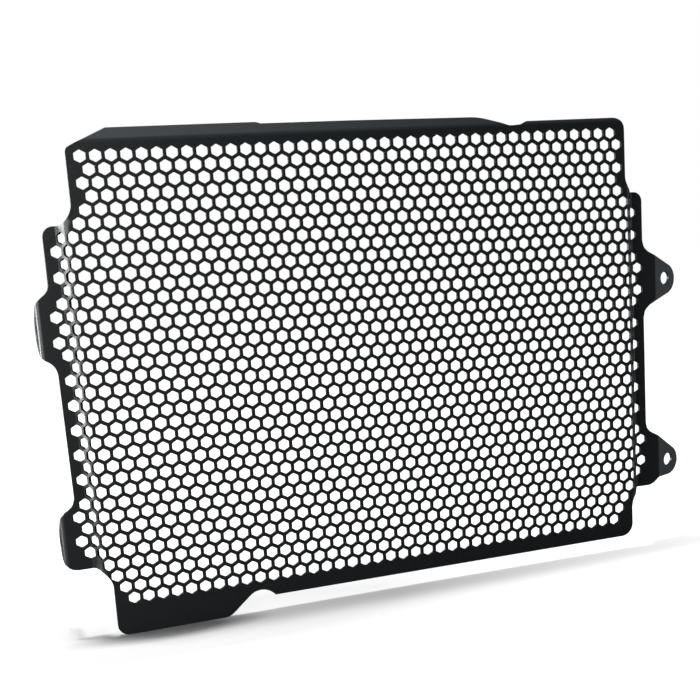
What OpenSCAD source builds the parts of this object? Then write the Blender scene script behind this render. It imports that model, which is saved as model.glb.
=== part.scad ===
// Motorcycle radiator guard: one aluminium sheet, cut with a honeycomb of cells,
// then folded. The middle stands proud, a step on each side drops back to a narrow
// flange, four bolt tabs turn back off the flanges and the top edge leans back.
//
// Sheet frame: X across, Y back, Z up. The front face of the middle is at y = 0, the
// two steps are the same distance from x = 0, and z = 0 is the middle of the cells.
// The whole is then moved so that the lower right bolt hole is at the origin.

/* [Sheet] */
// Thickness of the sheet
sheet_t = 1.5; // [1:0.1:2]
// Radius on the inside of every fold
fold_r = 2; // [1:0.25:2.5]

/* [Middle] */
// Distance between the front corners of the two steps
middle_w = 293; // [240:1:360]
// Height of the top edge's fold line
top_z = 111.5; // [100:0.5:140]
// Height of the bottom edge
bottom_z = -116.5; // [-145:0.5:-112]
// Depth of the foot at the lower left, below the bottom edge
foot_drop = 7.5; // [5:0.5:10]
// Width of the foot
foot_w = 55; // [40:1:80]
// Steepness of the foot's inner flank
flank_angle = 40.6; // [35:0.1:45]
// Radius of the notch beside the foot
notch_r = 8.8; // [7:0.1:10]
// Inset of the left edge, above and below the step, from the step's corner
left_inset = 3.7; // [1:0.1:8]
// Inset of the right edge, above and below the step, from the step's corner
right_inset = 2.4; // [1:0.1:8]

/* [Side steps] */
// How far the flange lies behind the middle
step_depth = 5.6; // [4.5:0.1:7]
// Width of the slope, seen from the front
step_run = 4.2; // [3.5:0.1:8]
// Width of the flange beyond the slope, seen from the front
flange_w = 6.7; // [5:0.1:15]
// Height of the flange's top end
flange_top = 75.3; // [60:0.5:88]
// Height of the flange's bottom end
flange_bottom = -90.5; // [-98:0.5:-90]

/* [Bolt tabs] */
// Height of the upper bolts
upper_bolt_z = 26.2; // [-10:0.1:40]
// Height of the lower bolts
lower_bolt_z = -78.2; // [-78.5:0.1:-60]
// Diameter of the bolt holes, a clearance for M6
bolt_d = 7; // [4:0.1:9]
// Distance from a tab's fold to its bolt
bolt_reach = 8.5; // [7:0.1:14]
// Radius of the sheet around a bolt
tab_r = 8.2; // [6.5:0.1:8.5]
// Width of the root that carries a tab, beyond the flange
root_w = 7.9; // [5:0.1:12]
// Angle that the right tabs turn back
right_tab_angle = 20; // [10:1:90]
// Angle that the left tabs turn back
left_tab_angle = 90; // [10:1:90]

/* [Top edge] */
// Angle that the top edge leans back
lean = 45; // [20:1:60]
// Height of the leaning edge beyond its fold, at the left
lean_left = 7.1; // [5:0.1:15]
// Height of the leaning edge beyond its fold, past the small step
lean_mid = 5.9; // [4.5:0.1:12]
// Height of the leaning edge beyond its fold, before the relief
lean_right = 4.8; // [3:0.1:10]
// Height of the lip beyond its fold, right of the relief
lip_h = 0.3; // [0.1:0.1:4]
// Place of the relief's middle
relief_x = 80; // [40:1:110]
// Width of the relief's floor
relief_w = 7; // [4:0.5:20]

/* [Cells] */
// Distance between the centres of two cells
cell_pitch = 12.25; // [8:0.05:14]
// Width of the web between two cells
cell_web = 2.45; // [1:0.05:4]
// Least width of sheet between a cell's corner and an edge
rim = 1.3; // [1:0.1:6]
// Least distance from a cell's centre to a tab's fold
tab_margin = 9; // [7:0.5:20]

/* [Hidden] */
$fn = 72;

// Degrees between two points on a round corner, and on a fold
corner_step = 9;
fold_step = 5;
// Overshoot of a cut, and a size past every edge of the sheet
past = 1;
far = 40;

// Outside radius of a fold, and the distance from a fold's start to its corner
fold_outer = fold_r + sheet_t;
function setback(angle, r = fold_outer) = r * tan(angle / 2);

// Side steps, from the middle outwards, as seen from the front
step_x = middle_w / 2;
flange_x = step_x + step_run;
edge_x = flange_x + flange_w;
tab_x = edge_x + root_w;
step_angle = atan2(step_depth, step_run);
slope_w = norm([step_run, step_depth]);
step_start = step_x - setback(step_angle);
// The sides start a little before the folds
lead = 0.75;
middle_end = step_start - lead;
flange_start = flange_x + setback(step_angle, fold_r);
left_edge = -step_x + left_inset;
right_edge = step_x - right_inset;

// Each tab's fold runs from this far below its bolt to this far above it
upper_fold = [-11.1, 13.3];
lower_fold = [-8.8, 15.4];
// The flange's edge starts to widen into a root this far beyond the fold's ends
root_rise = 4;

// Foot and the notch beside it: the flank ends on the notch's circle, which meets
// the bottom edge at a sharp corner
foot_z = bottom_z - foot_drop;
foot_right = left_edge + foot_w;
flank = [cos(flank_angle), sin(flank_angle)];
notch_z = bottom_z - 4.6;
notch_x = foot_right
    + (notch_z - foot_z + notch_r * flank.x) / tan(flank_angle) + notch_r * flank.y;
notch_end = asin((bottom_z - notch_z) / notch_r);

// The top fold ends at this height and depth, and the leaning edge goes on from there
lean_z = top_z + fold_outer * sin(lean);
lean_y = fold_outer * (1 - cos(lean));
// The left end of the leaning edge is cut back by a bevel that starts on the side edge
bevel_z = top_z - 1.9;
bevel_slope = 0.49;
bevel_x = left_edge + (lean_z - bevel_z) / bevel_slope;
// The relief's floor is just above the start of the fold, with a ramp up to the lip
relief_z = top_z + 0.5;
relief_left = relief_x - relief_w / 2;
relief_right = relief_x + relief_w / 2;
ramp_w = 4.5;
// The leaning edge falls to the relief by a long slope
fall_x = relief_left - 6;

// Cells: corner radius, half width and the distance between two rows
cell_r = (cell_pitch - cell_web) / sqrt(3);
cell_half = cell_r * cos(30);
row_pitch = cell_pitch * cos(30);
// The cells' middle lies half a millimetre left of the sheet's
cell_x = -0.5;

// Points of a closed outline whose corners are [x, z, radius]
function unit(v) = v / norm(v);
function round_corner(a, b, c) =
    let (
        at = [b.x, b.y],
        to_a = unit([a.x, a.y] - at),
        to_c = unit([c.x, c.y] - at),
        half = acos(to_a * to_c) / 2,
        centre = at + unit(to_a + to_c) * b.z / sin(half),
        start = at + to_a * b.z / tan(half) - centre,
        way = to_a.x * to_c.y - to_a.y * to_c.x > 0 ? -1 : 1,
        sweep = 180 - 2 * half,
        n = ceil(sweep / corner_step)
    )
    [for (i = [0 : n])
        let (turned = atan2(start.y, start.x) + way * sweep * i / n)
        centre + b.z * [cos(turned), sin(turned)]];
function rounded(corners) =
    let (n = len(corners))
    [for (i = [0 : n - 1])
        each corners[i].z == 0
            ? [[corners[i].x, corners[i].y]]
            : round_corner(corners[(i + n - 1) % n], corners[i], corners[(i + 1) % n])];
function arc(centre, r, from, to) =
    let (n = ceil(abs(to - from) / corner_step))
    [for (i = [0 : n])
        let (a = from + (to - from) * i / n)
        [centre.x + r * cos(a), centre.y + r * sin(a), 0]];

// Points along a folded sheet seen on its edge, o behind its front face. Each leg is
// [straight length, angle of the fold that ends it, chords in that fold], and a
// positive angle turns back.
function along(legs, o, p = [0, 0], heading = 0, i = 0) =
    i == len(legs) ? [] :
    let (
        turn = legs[i][1],
        fold_at = p + legs[i][0] * [cos(heading), sin(heading)],
        r = turn > 0 ? fold_outer : -fold_r,
        centre = fold_at + r * [-sin(heading), cos(heading)],
        n = legs[i][2]
    )
    concat(
        turn == 0
            ? [fold_at + o * [-sin(heading), cos(heading)]]
            : [for (k = [0 : n])
                let (a = heading + turn * k / n)
                centre - (r - o) * [-sin(a), cos(a)]],
        along(legs, o,
            centre - r * [-sin(heading + turn), cos(heading + turn)],
            heading + turn, i + 1)
    );
function backwards(points) = [for (i = [len(points) - 1 : -1 : 0]) points[i]];
function section(legs) = concat(along(legs, 0), backwards(along(legs, sheet_t)));
function chords(angle) = ceil(angle / fold_step);

// Rounds a fold that a section draws as one chord: its outside is added, and its
// inside is cut. The angles are those of the fold's two ends, seen from its centre.
module round_fold(centre, from, to) {
    difference() {
        union() {
            children();
            translate(centre) intersection() {
                circle(fold_outer);
                polygon([[0, 0], 2 * fold_outer * [cos(from), sin(from)],
                    2 * fold_outer * [cos(to), sin(to)]]);
            }
        }
        translate(centre) circle(fold_r);
    }
}

// One side's outline from the flange's bottom to its top, on the right
function side_corners(edge) = [
    [edge, flange_bottom, 6],
    [edge_x + 3, flange_bottom, 6],
    [tab_x, lower_bolt_z + lower_fold[0], 0],
    [far + tab_x, lower_bolt_z + lower_fold[0], 0],
    [far + tab_x, lower_bolt_z + lower_fold[1], 0],
    [tab_x, lower_bolt_z + lower_fold[1], 0],
    [edge_x, lower_bolt_z + lower_fold[1] + root_rise, 7],
    [edge_x, upper_bolt_z + upper_fold[0] - root_rise, 8],
    [tab_x, upper_bolt_z + upper_fold[0], 0],
    [far + tab_x, upper_bolt_z + upper_fold[0], 0],
    [far + tab_x, upper_bolt_z + upper_fold[1], 0],
    [tab_x, upper_bolt_z + upper_fold[1], 0],
    [edge_x, upper_bolt_z + upper_fold[1] + root_rise, 8],
    [edge_x, flange_top, 5],
    [edge, flange_top, 6.5],
];
function mirrored(corners) =
    backwards([for (c = corners) [-c.x, c.y, c.z]]);

// The whole outline seen from the front, open above the top fold and beyond the tabs
outline = rounded(concat(
    [[left_edge, foot_z, 5.5], [foot_right, foot_z, 8]],
    arc([notch_x, notch_z], notch_r, 90 + flank_angle, notch_end),
    [[right_edge, bottom_z, 7]],
    side_corners(right_edge),
    [
        [right_edge, lean_z + lip_h, 7.5],
        [relief_right + ramp_w, lean_z + lip_h, 0],
        [relief_right, relief_z, 0],
        [relief_left, relief_z, 3],
        [fall_x, lean_z, 0],
        [fall_x, lean_z + far, 0],
        [bevel_x, lean_z + far, 0],
        [bevel_x, lean_z, 0],
        [left_edge, bevel_z, 3],
    ],
    mirrored(side_corners(-left_edge))
));

// A place across the sheet before folding, and the same place seen from the front
function flat_x(x) =
    abs(x) <= step_x ? x :
    sign(x) * (abs(x) <= flange_x
        ? step_x + (abs(x) - step_x) * slope_w / step_run
        : abs(x) - step_run + slope_w);
function folded_x(x) =
    abs(x) <= step_x ? x :
    sign(x) * (abs(x) <= step_x + slope_w
        ? step_x + (abs(x) - step_x) * step_run / slope_w
        : abs(x) + step_run - slope_w);
flat_outline = [for (p = outline) [flat_x(p.x), p.y]];

// Distance from a point to an edge, and whether the point lies inside the outline
function edge_distance(p, a, b) =
    let (
        ab = b - a,
        share = (p - a) * ab / (ab * ab)
    )
    norm(p - a - max(0, min(1, share)) * ab);
function crosses(p, a, b) =
    (a.y > p.y) != (b.y > p.y)
    && p.x < a.x + (b.x - a.x) * (p.y - a.y) / (b.y - a.y);
function inside(p, points) =
    let (
        n = len(points),
        hits = [for (i = [0 : n - 1]) if (crosses(p, points[i], points[(i + 1) % n])) i]
    )
    len(hits) % 2 == 1;
function clearance(p, points) =
    let (n = len(points))
    min([for (i = [0 : n - 1]) edge_distance(p, points[i], points[(i + 1) % n])]);
function fits(p) =
    p.y + cell_r + rim <= top_z
    && p.y - cell_r - rim >= bottom_z
    && abs(p.x) <= flat_x(tab_x) - tab_margin
    && inside(p, flat_outline)
    && clearance(p, flat_outline) >= cell_r + rim;

// Centres of the cells before folding. Every second row is set over by half a pitch.
rows = ceil(top_z / row_pitch) + 1;
columns = ceil(tab_x / cell_pitch) + 1;
cells = [for (row = [-rows : rows], column = [-columns : columns])
    let (centre = [cell_x + cell_pitch * (column + (row % 2 == 0 ? 0 : 0.5)),
        row_pitch * (row - 0.5)])
    if (fits(centre)) centre];

// A cell's outline seen from the front. It narrows where it lies on a slope, so it
// gets a point more on each fold that it crosses.
folds_x = [-step_x - slope_w, -step_x, step_x, step_x + slope_w];
module cell(centre) {
    half_height = function (x) cell_r - abs(x - centre.x) * tan(30);
    places = concat(
        [centre.x - cell_half],
        [for (x = folds_x) if (x > centre.x - cell_half && x < centre.x) x],
        [centre.x],
        [for (x = folds_x) if (x > centre.x && x < centre.x + cell_half) x],
        [centre.x + cell_half]
    );
    polygon(concat(
        [for (x = places) [folded_x(x), centre.y + half_height(x)]],
        [for (x = backwards(places)) [folded_x(x), centre.y - half_height(x)]]
    ));
}

// Turns a shape seen from the front into a solid from one depth to another
module through(front, back)
    translate([0, back, 0]) rotate([90, 0, 0]) linear_extrude(back - front) children();

// The proud middle, up to where the folds start
module middle() {
    through(0, sheet_t) difference() {
        intersection() {
            polygon(outline);
            translate([-middle_end, foot_z - past])
                square([2 * middle_end, top_z - foot_z + past]);
        }
        for (c = cells) if (abs(c.x) - cell_half < middle_end) cell(c);
    }
}

// A frame at the start of a tab's flat, with X along the tab and Y through the sheet
module on_tab(angle) {
    translate([tab_x - setback(angle) + fold_outer * sin(angle),
        step_depth + fold_outer * (1 - cos(angle)), 0])
        rotate([0, 0, angle]) children();
}

// A tab seen square on: from the ends of its fold, straight to a round nose
function tangent(p, c, way) =
    atan2(c.y - p.y, c.x - p.x) + way * (asin(tab_r / norm(c - p)) + 90);
module tab_shape(bolt, fold) {
    low = [0, bolt.y + fold[0]];
    high = [0, bolt.y + fold[1]];
    polygon(rounded(concat(
        [[low.x, low.y, 0]],
        arc(bolt, tab_r, tangent(low, bolt, -1), tangent(high, bolt, 1)),
        [[high.x, high.y, 0]]
    )));
}

// What is cut from the sheet around one tab, and its bolt hole
module tab_cut(angle, bolt_z, fold) {
    reach = bolt_reach - setback(angle);
    on_tab(angle) {
        through(-past, sheet_t + past) difference() {
            translate([0, bolt_z + fold[0] - root_rise])
                square([far, fold[1] - fold[0] + 2 * root_rise]);
            tab_shape([reach, bolt_z], fold);
        }
        translate([reach, sheet_t + past, bolt_z])
            rotate([90, 0, 0]) cylinder(d = bolt_d, h = sheet_t + 2 * past);
    }
}

// One side on the right of x = 0: slope, flange and two tabs, without its cells
module side(tab_angle) {
    tab_start = tab_x - setback(tab_angle);
    slope_flat = slope_w - setback(step_angle) - setback(step_angle, fold_r);
    legs = [
        [0, 0, 0],
        [lead, step_angle, 1],
        [slope_flat, -step_angle, 1],
        [tab_start - flange_start, tab_angle, chords(tab_angle)],
        [bolt_reach + tab_r, 0, 0],
    ];
    difference() {
        translate([step_start, 0, flange_bottom - past])
            linear_extrude(flange_top - flange_bottom + 2 * past)
            round_fold([0, fold_outer], -90, step_angle - 90)
            round_fold([flange_start - step_start, step_depth - fold_r], 90, 90 + step_angle)
            translate([-lead, 0]) polygon(section(legs));
        tab_cut(tab_angle, upper_bolt_z, upper_fold);
        tab_cut(tab_angle, lower_bolt_z, lower_fold);
    }
}

// Both sides, trimmed to the outline and cut with their cells
module sides() {
    difference() {
        intersection() {
            union() {
                side(right_tab_angle);
                mirror([1, 0, 0]) side(left_tab_angle);
            }
            through(-past, far) polygon(outline);
        }
        through(-past, far)
            for (c = cells) if (abs(c.x) + cell_half > middle_end) cell(c);
    }
}

// The leaning top edge seen square on, and the low lip right of the relief
module lean_shape() {
    polygon(rounded([
        [bevel_x, -past, 0],
        [bevel_x, 0, 0],
        [bevel_x + lean_left / 0.65, lean_left, 2],
        [-53.5, lean_left, 0],
        [-51.5, lean_mid, 0],
        [-6, lean_mid, 0],
        [fall_x - 8.6, lean_right, 20],
        [fall_x, 0, 0],
        [fall_x, -past, 0],
    ]));
    translate([relief_right, -past]) square([step_x, lip_h + past]);
}

// The fold along the top and the edge that leans back from it
module top_edge() {
    intersection() {
        difference() {
            translate([-step_x, 0, top_z]) rotate([90, 0, 90]) linear_extrude(2 * step_x)
                mirror([1, -1]) polygon(section([[0, lean, chords(lean)], [lean_left, 0, 0]]));
            translate([0, lean_y, lean_z]) rotate([-lean, 0, 0])
                through(-past, sheet_t + past) difference() {
                    translate([-step_x - past, 0]) square([2 * (step_x + past), far]);
                    lean_shape();
                }
        }
        through(-past, far) polygon(outline);
    }
}

module guard() {
    tab_flat = bolt_reach - setback(right_tab_angle);
    bolt = [
        tab_x - setback(right_tab_angle) + fold_outer * sin(right_tab_angle)
            + tab_flat * cos(right_tab_angle) - sheet_t / 2 * sin(right_tab_angle),
        step_depth + fold_outer * (1 - cos(right_tab_angle))
            + tab_flat * sin(right_tab_angle) + sheet_t / 2 * cos(right_tab_angle),
        lower_bolt_z,
    ];
    color([0.12, 0.13, 0.14]) translate(-bolt) {
        middle();
        sides();
        top_edge();
    }
}

guard();
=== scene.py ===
import math

import bpy
import numpy as np
from mathutils import Matrix, Vector
from mathutils.geometry import delaunay_2d_cdt


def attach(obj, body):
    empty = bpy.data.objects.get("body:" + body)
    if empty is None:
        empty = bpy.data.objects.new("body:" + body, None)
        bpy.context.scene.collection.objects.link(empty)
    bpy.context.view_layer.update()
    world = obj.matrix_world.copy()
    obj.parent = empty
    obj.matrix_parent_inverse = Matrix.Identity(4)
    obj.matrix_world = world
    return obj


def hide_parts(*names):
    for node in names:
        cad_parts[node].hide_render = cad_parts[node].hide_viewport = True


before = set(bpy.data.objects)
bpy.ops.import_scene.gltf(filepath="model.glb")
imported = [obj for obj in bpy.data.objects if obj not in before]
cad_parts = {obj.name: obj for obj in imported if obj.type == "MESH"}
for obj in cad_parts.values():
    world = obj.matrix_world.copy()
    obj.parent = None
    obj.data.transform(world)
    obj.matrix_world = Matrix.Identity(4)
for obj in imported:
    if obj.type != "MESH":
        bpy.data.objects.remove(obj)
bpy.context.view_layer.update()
scene = bpy.context.scene

# The photograph was taken from the guard's left, a little above its middle, at about
# half a metre. Places on the guard are in millimetres from the middle of the sheet's
# front face, and the frame starts at a bolt hole. The lens is in the photograph's pixels.
BOLT_HOLE = Vector((173.031, 9.212, -78.2))
CAMERA_AT = (-148.5, -469.86, 63.59)
PHOTO_SIZE, FOCAL_LENGTH, LEVEL_ROW = 700, 973.1, 384.69
SENSOR = 36


def from_sheet(x, y, z):
    """A place in millimetres on the guard, in the frame's metres."""
    return (Vector((x, y, z)) - BOLT_HOLE) / 1000


camera = bpy.data.objects.new("camera", bpy.data.cameras.new("camera"))
scene.collection.objects.link(camera)
look_round, look_down, roll = math.radians(15.677), math.radians(8.896), math.radians(-3.926)
forward = Vector((
    math.sin(look_round) * math.cos(look_down),
    math.cos(look_round) * math.cos(look_down),
    -math.sin(look_down),
))
level = forward.cross(Vector((0, 0, 1))).normalized()
upright = level.cross(forward)
right = level * math.cos(roll) + upright * math.sin(roll)
above = upright * math.cos(roll) - level * math.sin(roll)
turn = Matrix((right, above, -forward)).transposed().to_4x4()
camera.matrix_world = Matrix.Translation(from_sheet(*CAMERA_AT)) @ turn
camera.data.sensor_width = SENSOR
camera.data.lens = SENSOR * FOCAL_LENGTH / PHOTO_SIZE
camera.data.shift_y = (LEVEL_ROW - PHOTO_SIZE / 2) / PHOTO_SIZE
camera.data.clip_start = 0.01
scene.camera = camera

# The blank is one sheet of 1.5 mm aluminium, laser cut to its outline while flat: a
# foot with a notch at the lower left, a flange with two bolt tabs on each side, and a
# top edge that falls to a relief. On the flat sheet u runs across it and v up it.
SHEET_T = 1.5
FOLD_IN = 2.0
FOLD_OUT = FOLD_IN + SHEET_T
STEP_U = 146.5
STEP_RUN, STEP_DEPTH = 4.2, 5.6
SLOPE_W = math.hypot(STEP_RUN, STEP_DEPTH)
EDGE_U = STEP_U + SLOPE_W + 6.7
RIGHT_TAB_U, LEFT_LUG_U = EDGE_U + 7.9, EDGE_U + 6.8
LEFT_U, RIGHT_U = -142.8, 144.1
BOTTOM_V, FOOT_V, TOP_V = -116.6, -124.3, 111.5
LEAN = math.radians(45)
LEAN_V = TOP_V + FOLD_OUT * LEAN
BOLTS_V = (-78.2, 26.2)
BOLT_REACH, BOLT_R = 8.5, 3.5
FOOT_W = 55.3
FLANK, NOTCH_R, NOTCH_DROP = math.radians(40.6), 8.8, 5.0
RELIEF_LEFT, RELIEF_RIGHT, RELIEF_V = 77.5, 83.5, 112.2
BEVEL_U, BEVEL_V = -134.8, 109.8
CRISP = 0.4


def arc(centre, radius, start, end, step=math.radians(9)):
    """Points along an arc, with both of its ends."""
    count = max(2, math.ceil(abs(end - start) / step))
    angles = [start + (end - start) * i / count for i in range(count + 1)]
    return [Vector(centre) + radius * Vector((math.cos(a), math.sin(a))) for a in angles]


def rounded(corners):
    """Points of a closed outline whose corners are (u, v, radius), or points as they are."""
    points = []
    for i, corner in enumerate(corners):
        at = Vector(corner[:2])
        if len(corner) == 2:
            points.append(at)
            continue
        before = (Vector(corners[i - 1][:2]) - at).normalized()
        after = (Vector(corners[(i + 1) % len(corners)][:2]) - at).normalized()
        half = before.angle(after) / 2
        centre = at + (before + after).normalized() * corner[2] / math.sin(half)
        start = at + before * corner[2] / math.tan(half) - centre
        way = -1 if before.cross(after) > 0 else 1
        first = math.atan2(start.y, start.x)
        points += arc(centre, corner[2], first, first + way * (math.pi - 2 * half))
    return points


def bolt_tab(fold_u, fold_v, nose, radius):
    """From the bottom of a tab's fold, round its nose, to the top of the fold."""
    touch = []
    for v, way in zip(fold_v, (-1, 1)):
        to = Vector(nose) - Vector((fold_u, v))
        touch.append(math.atan2(to.y, to.x) + way * (math.asin(radius / to.length) + math.pi / 2))
    return [(fold_u, fold_v[0]), *arc(nose, radius, *touch), (fold_u, fold_v[1])]


# A side runs from the bottom of its flange to the top, with its two tabs on their roots.
RIGHT_NOSE = RIGHT_TAB_U + BOLT_REACH
right_side = [
    (RIGHT_U, -90.7, 9.5),
    (EDGE_U + 3.6, -91.2, 9),
    *bolt_tab(RIGHT_TAB_U, (-87.2, -62.6), (RIGHT_NOSE + 0.3, BOLTS_V[0] - 0.7), 8.2),
    (EDGE_U + 0.2, -58.4, 7),
    (EDGE_U + 0.2, 10.2, 8),
    *bolt_tab(RIGHT_TAB_U, (14.2, 39.6), (RIGHT_NOSE + 0.1, BOLTS_V[1] - 0.45), 8.5),
    (EDGE_U + 0.2, 43.8, 8),
    (EDGE_U + 0.2, 74.6, 5),
    (RIGHT_U + 0.3, 74.6, 8.5),
]
LEFT_NOSE = LEFT_LUG_U + BOLT_REACH
left_side = [
    (LEFT_U, -89.8, 10),
    (-EDGE_U - 3.4, -89.8, 8),
    *[(-u, v) for u, v in bolt_tab(LEFT_LUG_U, (-86.8, -62.3), (LEFT_NOSE, BOLTS_V[0]), 8.2)],
    (-EDGE_U + 0.8, -57.2, 7),
    (-EDGE_U, 10.6, 8),
    *[(-u, v) for u, v in bolt_tab(LEFT_LUG_U, (14.6, 40.8), (LEFT_NOSE, BOLTS_V[1]), 8.2)],
    (-EDGE_U, 46, 6),
    (-EDGE_U, 75.5, 5),
    (LEFT_U - 0.5, 75.5, 9.5),
]

# The foot's flank runs up into the round notch.
foot_right = LEFT_U + FOOT_W
notch_v = BOTTOM_V - NOTCH_DROP
notch_u = foot_right + NOTCH_R * math.sin(FLANK)
notch_u += (notch_v - FOOT_V + NOTCH_R * math.cos(FLANK)) / math.tan(FLANK)
notch = arc(
    (notch_u, notch_v), NOTCH_R, math.pi / 2 + FLANK, math.asin(NOTCH_DROP / NOTCH_R)
)
# The leaning edge's corners, by their height above its fold.
leaning_edge = [
    (RELIEF_LEFT - 15.2, 4.9, 20),
    (41.6, 5.2, CRISP),
    (-6, 6.0, CRISP),
    (-51.0, 6.2, 0.8),
    (-53.2, 7.4, 0.8),
    (-124.2, 7.4, 2),
]
outline = rounded([
    (LEFT_U, FOOT_V, 5.5),
    (foot_right, FOOT_V, 8),
    *notch[:-1],
    (*notch[-1], CRISP),
    (RIGHT_U, BOTTOM_V, 7),
    *right_side,
    (RIGHT_U + 0.3, LEAN_V + 0.3, 7),
    (RELIEF_RIGHT + 4.5, LEAN_V + 0.3, 0.8),
    (RELIEF_RIGHT, RELIEF_V, 1),
    (RELIEF_LEFT, RELIEF_V, 3),
    *[(u, LEAN_V + height, radius) for u, height, radius in leaning_edge],
    (BEVEL_U, LEAN_V, CRISP),
    (LEFT_U - 0.5, BEVEL_V, 3),
    *reversed(left_side),
])

# The cells are cut by the same laser: hexagons 5.3 mm across their flats, 7 mm apart,
# which leaves webs of 1.7 mm. Rows are set over by half a pitch in turn, and the
# pattern runs on across both side steps, where it is cut before they are folded.
PITCH, WEB = 7.0, 1.7
CELL_HALF = (PITCH - WEB) / 2
ROW_PITCH = PITCH * math.cos(math.radians(30))
CELLS_U, CELLS_V = -14.5, 2.5 * ROW_PITCH
ROWS, COLUMNS = range(-15, 21), range(-24, 28)
SAFE_EDGE = 4.1
OUTER_CELL = 159.1


def distances(points, loop):
    """How far each point lies from the nearest edge of a closed loop."""
    start = np.array(loop)
    along = np.roll(start, -1, axis=0) - start
    to = points[:, None] - start[None]
    share = np.clip((to * along).sum(2) / (along**2).sum(1), 0, 1)
    return np.linalg.norm(to - share[..., None] * along, axis=2).min(1)


def inside(points, loop):
    """Whether each point lies inside a closed loop."""
    a = np.array(loop)
    b = np.roll(a, -1, axis=0)
    u, v = points[:, :1], points[:, 1:]
    between = (a[:, 1] > v) != (b[:, 1] > v)
    rise = np.where(a[:, 1] == b[:, 1], 1, b[:, 1] - a[:, 1])
    left = u < a[:, 0] + (b[:, 0] - a[:, 0]) * (v - a[:, 1]) / rise
    return (between & left).sum(1) % 2 == 1


def cell_centre(row, pitches):
    """A cell's place, some rows down and some pitches across from the pattern's start."""
    return CELLS_U + PITCH * pitches, CELLS_V - ROW_PITCH * row


lattice = np.array([
    cell_centre(row, column + row % 2 / 2)
    for row in ROWS
    for column in COLUMNS
])
lattice = lattice[inside(lattice, outline) & (abs(lattice[:, 0]) <= OUTER_CELL)]
cells = lattice[distances(lattice, outline) >= SAFE_EDGE]
# Both lower corners have their own: two cells more at the left, and one fewer at the right.
tight = np.array((cell_centre(17, -18.5), cell_centre(18, -18)))
left_out = np.array(cell_centre(20, 22))
known = np.linalg.norm(cells[:, None] - tight[None], axis=2).min(1) < 1
known |= np.linalg.norm(cells - left_out, axis=1) < 1
cells = np.concatenate((cells[~known], tight))


def cell_outline(centre, burn=0.25):
    """A hexagon with a point up, whose corners the laser leaves a little round."""
    points = []
    for corner in range(6):
        at = math.radians(90 - 60 * corner)
        tip = Vector((math.cos(at), math.sin(at))) * CELL_HALF / math.cos(math.radians(30))
        for side_at in (at + math.radians(120), at - math.radians(120)):
            towards = Vector((math.cos(side_at), math.sin(side_at)))
            points.append(Vector(centre) + tip + burn * towards)
    return points


# Four M6 clearance holes, one in each tab, are cut with the cells. The left ones can't
# be seen in the photograph, and lie as high as the right ones.
HOLE_STEP = math.radians(11.25)
bolts = [(u, v) for u in (-LEFT_NOSE, RIGHT_NOSE) for v in BOLTS_V]
bolt_holes = [arc(bolt, BOLT_R, 2 * math.pi, HOLE_STEP, HOLE_STEP) for bolt in bolts]

# The folds are pressed after cutting: two on each side for the step and one along the
# top with a 2 mm inside radius, and a sharper one at each pair of tabs. The right tabs
# turn back 20 degrees, and the left lugs stand all but square to their flange.
STEP_ANGLE = math.atan2(STEP_DEPTH, STEP_RUN)
TAB_FOLDS = {1: (RIGHT_TAB_U, math.radians(20)), -1: (LEFT_LUG_U, math.radians(84))}
TAB_FOLD_OUT = 0.8 + SHEET_T
FACET = math.radians(9)


def bend(at, angle, radius):
    """Where a bend starts on the flat sheet, its width there, its angle and radius."""
    reach = radius * math.tan(abs(angle) / 2)
    return at - reach, 2 * reach, angle, radius


side_bends = {
    way: [
        bend(*TAB_FOLDS[way], TAB_FOLD_OUT),
        bend(STEP_U + SLOPE_W, -STEP_ANGLE, FOLD_IN),
        bend(STEP_U, STEP_ANGLE, FOLD_OUT),
    ]
    for way in (-1, 1)
}
top_bend = (TOP_V, FOLD_OUT * LEAN, LEAN, FOLD_OUT)


def lines_of(start, width, angle, radius):
    """The lines along a bend that its points lie on, a facet apart."""
    return np.linspace(start, start + width, math.ceil(abs(angle) / FACET) + 1)


across_lines = [
    way * line for way in (-1, 1) for one in side_bends[way] for line in lines_of(*one)
]


def press(places, normals, axis, start, width, angle, radius):
    """Turns all that lies past a bend by its angle, and rolls the bend itself."""
    along = places[:, axis] - start
    turned = angle * np.clip(along / width, 0, 1)
    along = np.where(along < 0, along, np.maximum(along - width, 0))
    centre = math.copysign(radius, angle)
    cos, sin = np.cos(turned), np.sin(turned)
    deep = places[:, 1] - centre
    places[:, axis] = start + along * cos - deep * sin
    places[:, 1] = centre + along * sin + deep * cos
    out, back = normals[:, axis].copy(), normals[:, 1].copy()
    normals[:, axis] = out * cos - back * sin
    normals[:, 1] = out * sin + back * cos


def fold(places, normals):
    """Presses the top edge's fold, and then those of each side from the tabs inwards."""
    press(places, normals, 2, *top_bend)
    for way in (-1, 1):
        here = places[:, 0] * way > 0
        mirror = np.array((way, 1, 1))
        side_places, side_normals = places[here] * mirror, normals[here] * mirror
        for one in side_bends[way]:
            press(side_places, side_normals, 0, *one)
        places[here], normals[here] = side_places * mirror, side_normals * mirror


def with_bends(loop):
    """A closed loop with a point more wherever an edge crosses a line of a bend."""
    points = []
    for a, b in zip(loop, loop[1:] + loop[:1]):
        crossed = [
            (line - a[axis]) / (b[axis] - a[axis])
            for axis, lines in ((0, across_lines), (1, lines_of(*top_bend)))
            for line in lines
            if (a[axis] - line) * (b[axis] - line) < 0
        ]
        points += [a, *(a.lerp(b, share) for share in sorted(crossed))]
    return points


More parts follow.
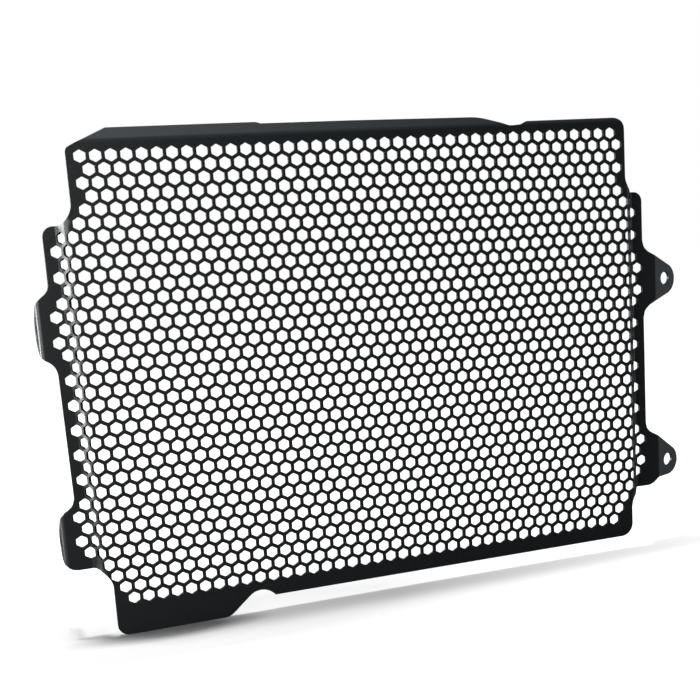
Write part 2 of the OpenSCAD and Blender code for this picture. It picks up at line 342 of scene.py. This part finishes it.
# Each cut edge is deburred and the coat builds up round it, so it is a small round on
# both faces. The faces are meshed flat, with rows of points along every bend.
EASED = 0.2
ROW_STEP = 1.2
CLEAR = 0.45
FLANGE_V = (-90, 75)
loops = [
    np.array(with_bends(loop))
    for loop in [outline, *map(cell_outline, cells), *bolt_holes]
]
sizes = [len(loop) for loop in loops]
starts = np.cumsum([0, *sizes[:-1]])
cut = np.concatenate(loops)
loop_of = np.repeat(np.arange(len(loops)), sizes)
following = np.concatenate([
    start + np.roll(np.arange(size), -1) for start, size in zip(starts, sizes)
])
before = np.empty_like(following)
before[following] = np.arange(len(cut))
along = cut[following] - cut
length = np.linalg.norm(along, axis=1, keepdims=True)
outward = np.stack((along[:, 1], -along[:, 0]), axis=1) / length
mitre = outward[before] + outward
mitre /= 1 + (outward[before] * outward).sum(1, keepdims=True)
wall = outward[before] * length[before] ** 2 + outward * length**2
wall /= np.linalg.norm(wall, axis=1, keepdims=True)
rim = cut - EASED * mitre

tall = np.arange(*FLANGE_V, ROW_STEP)
wide = np.arange(LEFT_U, RIGHT_U, ROW_STEP)
fill = np.array(
    [(u, v) for u in across_lines for v in tall]
    + [(u, v) for v in lines_of(*top_bend) for u in wide]
)
offsets = abs(fill[:, None] - cells[None])
from_cell = np.maximum(offsets[..., 0], (offsets[..., 0] + offsets[..., 1] * math.sqrt(3)) / 2)
from_bolt = np.linalg.norm(fill[:, None] - np.array(bolts)[None], axis=2).min(1)
fill = fill[
    inside(fill, outline)
    & (distances(fill, outline) > CLEAR)
    & (from_cell.min(1) > CELL_HALF + CLEAR)
    & (from_bolt > BOLT_R + CLEAR)
]

flat = np.concatenate((rim, fill))
owner = np.concatenate((loop_of, np.full(len(fill), -1)))
meshed = delaunay_2d_cdt(
    [Vector(p) for p in flat], list(zip(range(len(cut)), following.tolist())), [], 0, 1e-7
)
source = np.array([origins[0] for origins in meshed[3]])
faces = source[np.array(meshed[2])]
corner = flat[faces]
first, second = corner[:, 1] - corner[:, 0], corner[:, 2] - corner[:, 0]
turning = first[:, 0] * second[:, 1] - first[:, 1] * second[:, 0]
faces[turning < 0] = faces[turning < 0][:, ::-1]
owners = owner[faces]
same = (owners[:, 0] == owners[:, 1]) & (owners[:, 1] == owners[:, 2])
faces = faces[~(same & (owners[:, 0] > 0))]
on_outline = (owner[faces] == 0).all(1)
keep = np.ones(len(faces), bool)
keep[on_outline] = inside(flat[faces[on_outline]].mean(1), outline)
faces = faces[keep]


def layer(places, depth, normals):
    """Points of the flat sheet at a depth behind its front face, with their normals."""
    flat_places = np.stack((places[:, 0], np.full(len(places), depth), places[:, 1]), axis=1)
    return flat_places, normals


towards = np.array((0.0, -1.0, 0.0))
walls = np.stack((wall[:, 0], 0 * wall[:, 0], wall[:, 1]), axis=1)
layers = [
    layer(rim, 0, np.tile(towards, (len(cut), 1))),
    layer(cut, EASED, walls),
    layer(cut, SHEET_T - EASED, walls),
    layer(rim, SHEET_T, np.tile(-towards, (len(cut), 1))),
    layer(fill, 0, np.tile(towards, (len(fill), 1))),
    layer(fill, SHEET_T, np.tile(-towards, (len(fill), 1))),
]
places, normals = (np.concatenate(parts) for parts in zip(*layers))
fold(places, normals)
count = len(cut)
strips = [
    np.stack((ring + np.arange(count), ring + count + np.arange(count),
              ring + count + following, ring + following), axis=1)
    for ring in (0, count, 2 * count)
]
front = np.where(faces < count, faces, faces + 3 * count)
back = np.where(faces < count, faces + 3 * count, faces + 3 * count + len(fill))[:, ::-1]
mesh = bpy.data.meshes.new("guard_sheet")
mesh.from_pydata(
    ((places - np.array(BOLT_HOLE)) / 1000).tolist(), [],
    [*front.tolist(), *back.tolist(), *np.concatenate(strips).tolist()],
)
mesh.polygons.foreach_set("use_smooth", [True] * len(mesh.polygons))
mesh.normals_split_custom_set_from_vertices(normals.tolist())
sheet = bpy.data.objects.new("guard_sheet", mesh)
scene.collection.objects.link(sheet)

# The sheet is powder coated satin black after folding: a polyester film some 80 microns
# thick. It gives a near-black colour, a soft broad gloss, a faint grain, drawn coarser
# than the real 0.05 mm so that it shows, and slow waves some 2.5 mm long.
GRAIN_SIZE = 0.6
ORANGE_PEEL = 2.5


def linear(code):
    """A colour written as sRGB hex, in the linear values that Blender works with."""
    parts = [int(code[i:i + 2], 16) / 255 for i in (1, 3, 5)]
    return [p / 12.92 if p <= 0.04045 else ((p + 0.055) / 1.055) ** 2.4 for p in parts] + [1]


def add(tree, kind, inputs=None, **settings):
    """Adds a node with its settings. An input is a value, or an output to link."""
    made = tree.nodes.new("ShaderNode" + kind)
    for name, value in settings.items():
        setattr(made, name, value)
    for name, value in (inputs or {}).items():
        if isinstance(value, bpy.types.NodeSocket):
            tree.links.new(value, made.inputs[name])
        else:
            made.inputs[name].default_value = value
    return made


coat = bpy.data.materials.new("black_powder_coat")
coat.use_nodes = True
tree = coat.node_tree
tree.nodes.clear()
spot = add(tree, "TexCoord").outputs["Object"]
grain = add(tree, "TexNoise", {"Vector": spot, "Scale": 1000 / GRAIN_SIZE, "Detail": 2})
peel = add(tree, "TexNoise", {"Vector": spot, "Scale": 1000 / ORANGE_PEEL, "Detail": 1})
waves = add(tree, "Bump", {"Height": peel.outputs[0], "Strength": 0.25, "Distance": 0.00006})
texture = add(tree, "Bump", {
    "Height": grain.outputs[0], "Strength": 0.35, "Distance": 0.00002,
    "Normal": waves.outputs[0],
})
rough = add(tree, "MapRange", {
    "Value": grain.outputs[0], "From Min": 0.3, "From Max": 0.7,
    "To Min": 0.36, "To Max": 0.46,
})
tint = add(tree, "MixRGB", {
    "Fac": grain.outputs[0], "Color1": linear("#121517"), "Color2": linear("#191c1e"),
})
film = add(tree, "BsdfPrincipled", {
    "Base Color": tint.outputs[0],
    "Roughness": rough.outputs[0],
    "Normal": texture.outputs[0],
    "IOR": 1.5,
})
add(tree, "OutputMaterial", {"Surface": film.outputs[0]})
mesh.materials.append(coat)
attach(sheet, "root")
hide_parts("guard")

# The guard stands on its foot on a white paper floor that runs out of sight. To the camera
# it glows, least by the foot and along the lower edge, where a painted shadow darkens the
# guard's own soft shadow. The coat doesn't mirror it, because the photograph's front is near
# black.
SPAN = 3.0
UNDER_FOOT = (-118, -4)
floor_mesh = bpy.data.meshes.new("floor")
ground = from_sheet(0, 0, FOOT_V).z
square = ((-SPAN, -SPAN), (SPAN, -SPAN), (SPAN, SPAN), (-SPAN, SPAN))
floor_mesh.from_pydata([(x, y, ground) for x, y in square], [], [(0, 1, 2, 3)])
floor = bpy.data.objects.new("floor", floor_mesh)
floor.visible_glossy = False
scene.collection.objects.link(floor)
paper = bpy.data.materials.new("white_paper")
paper.use_nodes = True
tree = paper.node_tree
tree.nodes.clear()
matt = add(tree, "BsdfDiffuse", {"Color": linear("#707070")})
place = add(tree, "TexCoord").outputs["Object"]
stretched = add(tree, "Mapping", {
    "Vector": place, "Location": from_sheet(*UNDER_FOOT, FOOT_V),
    "Rotation": (0, 0, -0.02), "Scale": (1, 0.24, 1),
}, vector_type="TEXTURE")
apart = add(tree, "VectorMath", {0: stretched.outputs[0]}, operation="LENGTH")
# Painted shadow: the glow fades to nothing by the foot and in a band along the lower edge.
close_by = add(tree, "MapRange", {
    "Value": apart.outputs["Value"], "From Min": 0.024, "From Max": 0.052, "To Max": 0.34,
})
further = add(tree, "MapRange", {
    "Value": apart.outputs["Value"], "From Min": 0.12, "From Max": 0.36, "To Max": 0.66,
})
painted_shadow_glow = add(tree, "Math", {0: close_by.outputs[0], 1: further.outputs[0]}, operation="ADD")
seen = add(tree, "LightPath").outputs["Is Camera Ray"]
strength = add(tree, "Math", {0: painted_shadow_glow.outputs[0], 1: seen}, operation="MULTIPLY")
glow = add(tree, "Emission", {"Color": linear("#ffffff"), "Strength": strength.outputs[0]})
lit = add(tree, "AddShader", {0: matt.outputs[0], 1: glow.outputs[0]})
add(tree, "OutputMaterial", {"Surface": lit.outputs[0]})
floor_mesh.materials.append(paper)

# Studio light: a broad lamp above and to the left, a strong one at the left that the
# step's slope mirrors, a weaker one at the right for the tabs, one beside the camera
# for the front, and a small one high above that leaves the shadow on the floor.
world = bpy.data.worlds.new("studio")
scene.world = world
world.use_nodes = True
tree = world.node_tree
tree.nodes.clear()
seen = add(tree, "LightPath").outputs["Is Camera Ray"]
dim = add(tree, "Background", {"Color": linear("#8a8a8a"), "Strength": 0.06})
white = add(tree, "Background", {"Color": linear("#ffffff"), "Strength": 1.0})
both = add(tree, "MixShader", {0: seen, 1: dim.outputs[0], 2: white.outputs[0]})
add(tree, "OutputWorld", {"Surface": both.outputs[0]})


def lamp(name, way, distance, wide, high, power, colour="#ffffff"):
    """A lamp that faces the guard's middle from some way off, wide by high in metres."""
    made = bpy.data.objects.new(name, bpy.data.lights.new(name, "AREA"))
    made.data.shape = "RECTANGLE"
    made.data.size, made.data.size_y = wide, high
    made.data.energy = power
    made.data.color = linear(colour)[:3]
    way = Vector(way).normalized()
    made.location = from_sheet(0, 0, 0) + way * distance
    made.rotation_euler = way.to_track_quat("Z", "Y").to_euler()
    scene.collection.objects.link(made)


lamp("overhead", (-0.26, 0.2, 1), 1.2, 1.0, 0.9, 2.2)
lamp("left_of_guard", (-0.93, 0.28, 0.08), 1.0, 0.5, 0.6, 20)
lamp("right_of_guard", (0.96, -0.27, -0.02), 1.2, 0.5, 0.8, 1.5, "#eaf4ff")
lamp("left_of_camera", (-0.8, -0.6, 0.3), 1.0, 0.8, 0.8, 13)
lamp("over_floor", (-0.18, 0.058, 1), 1.2, 0.07, 0.18, 50)
bpy.data.objects["over_floor"].visible_glossy = False

scene.view_settings.view_transform = "Standard"
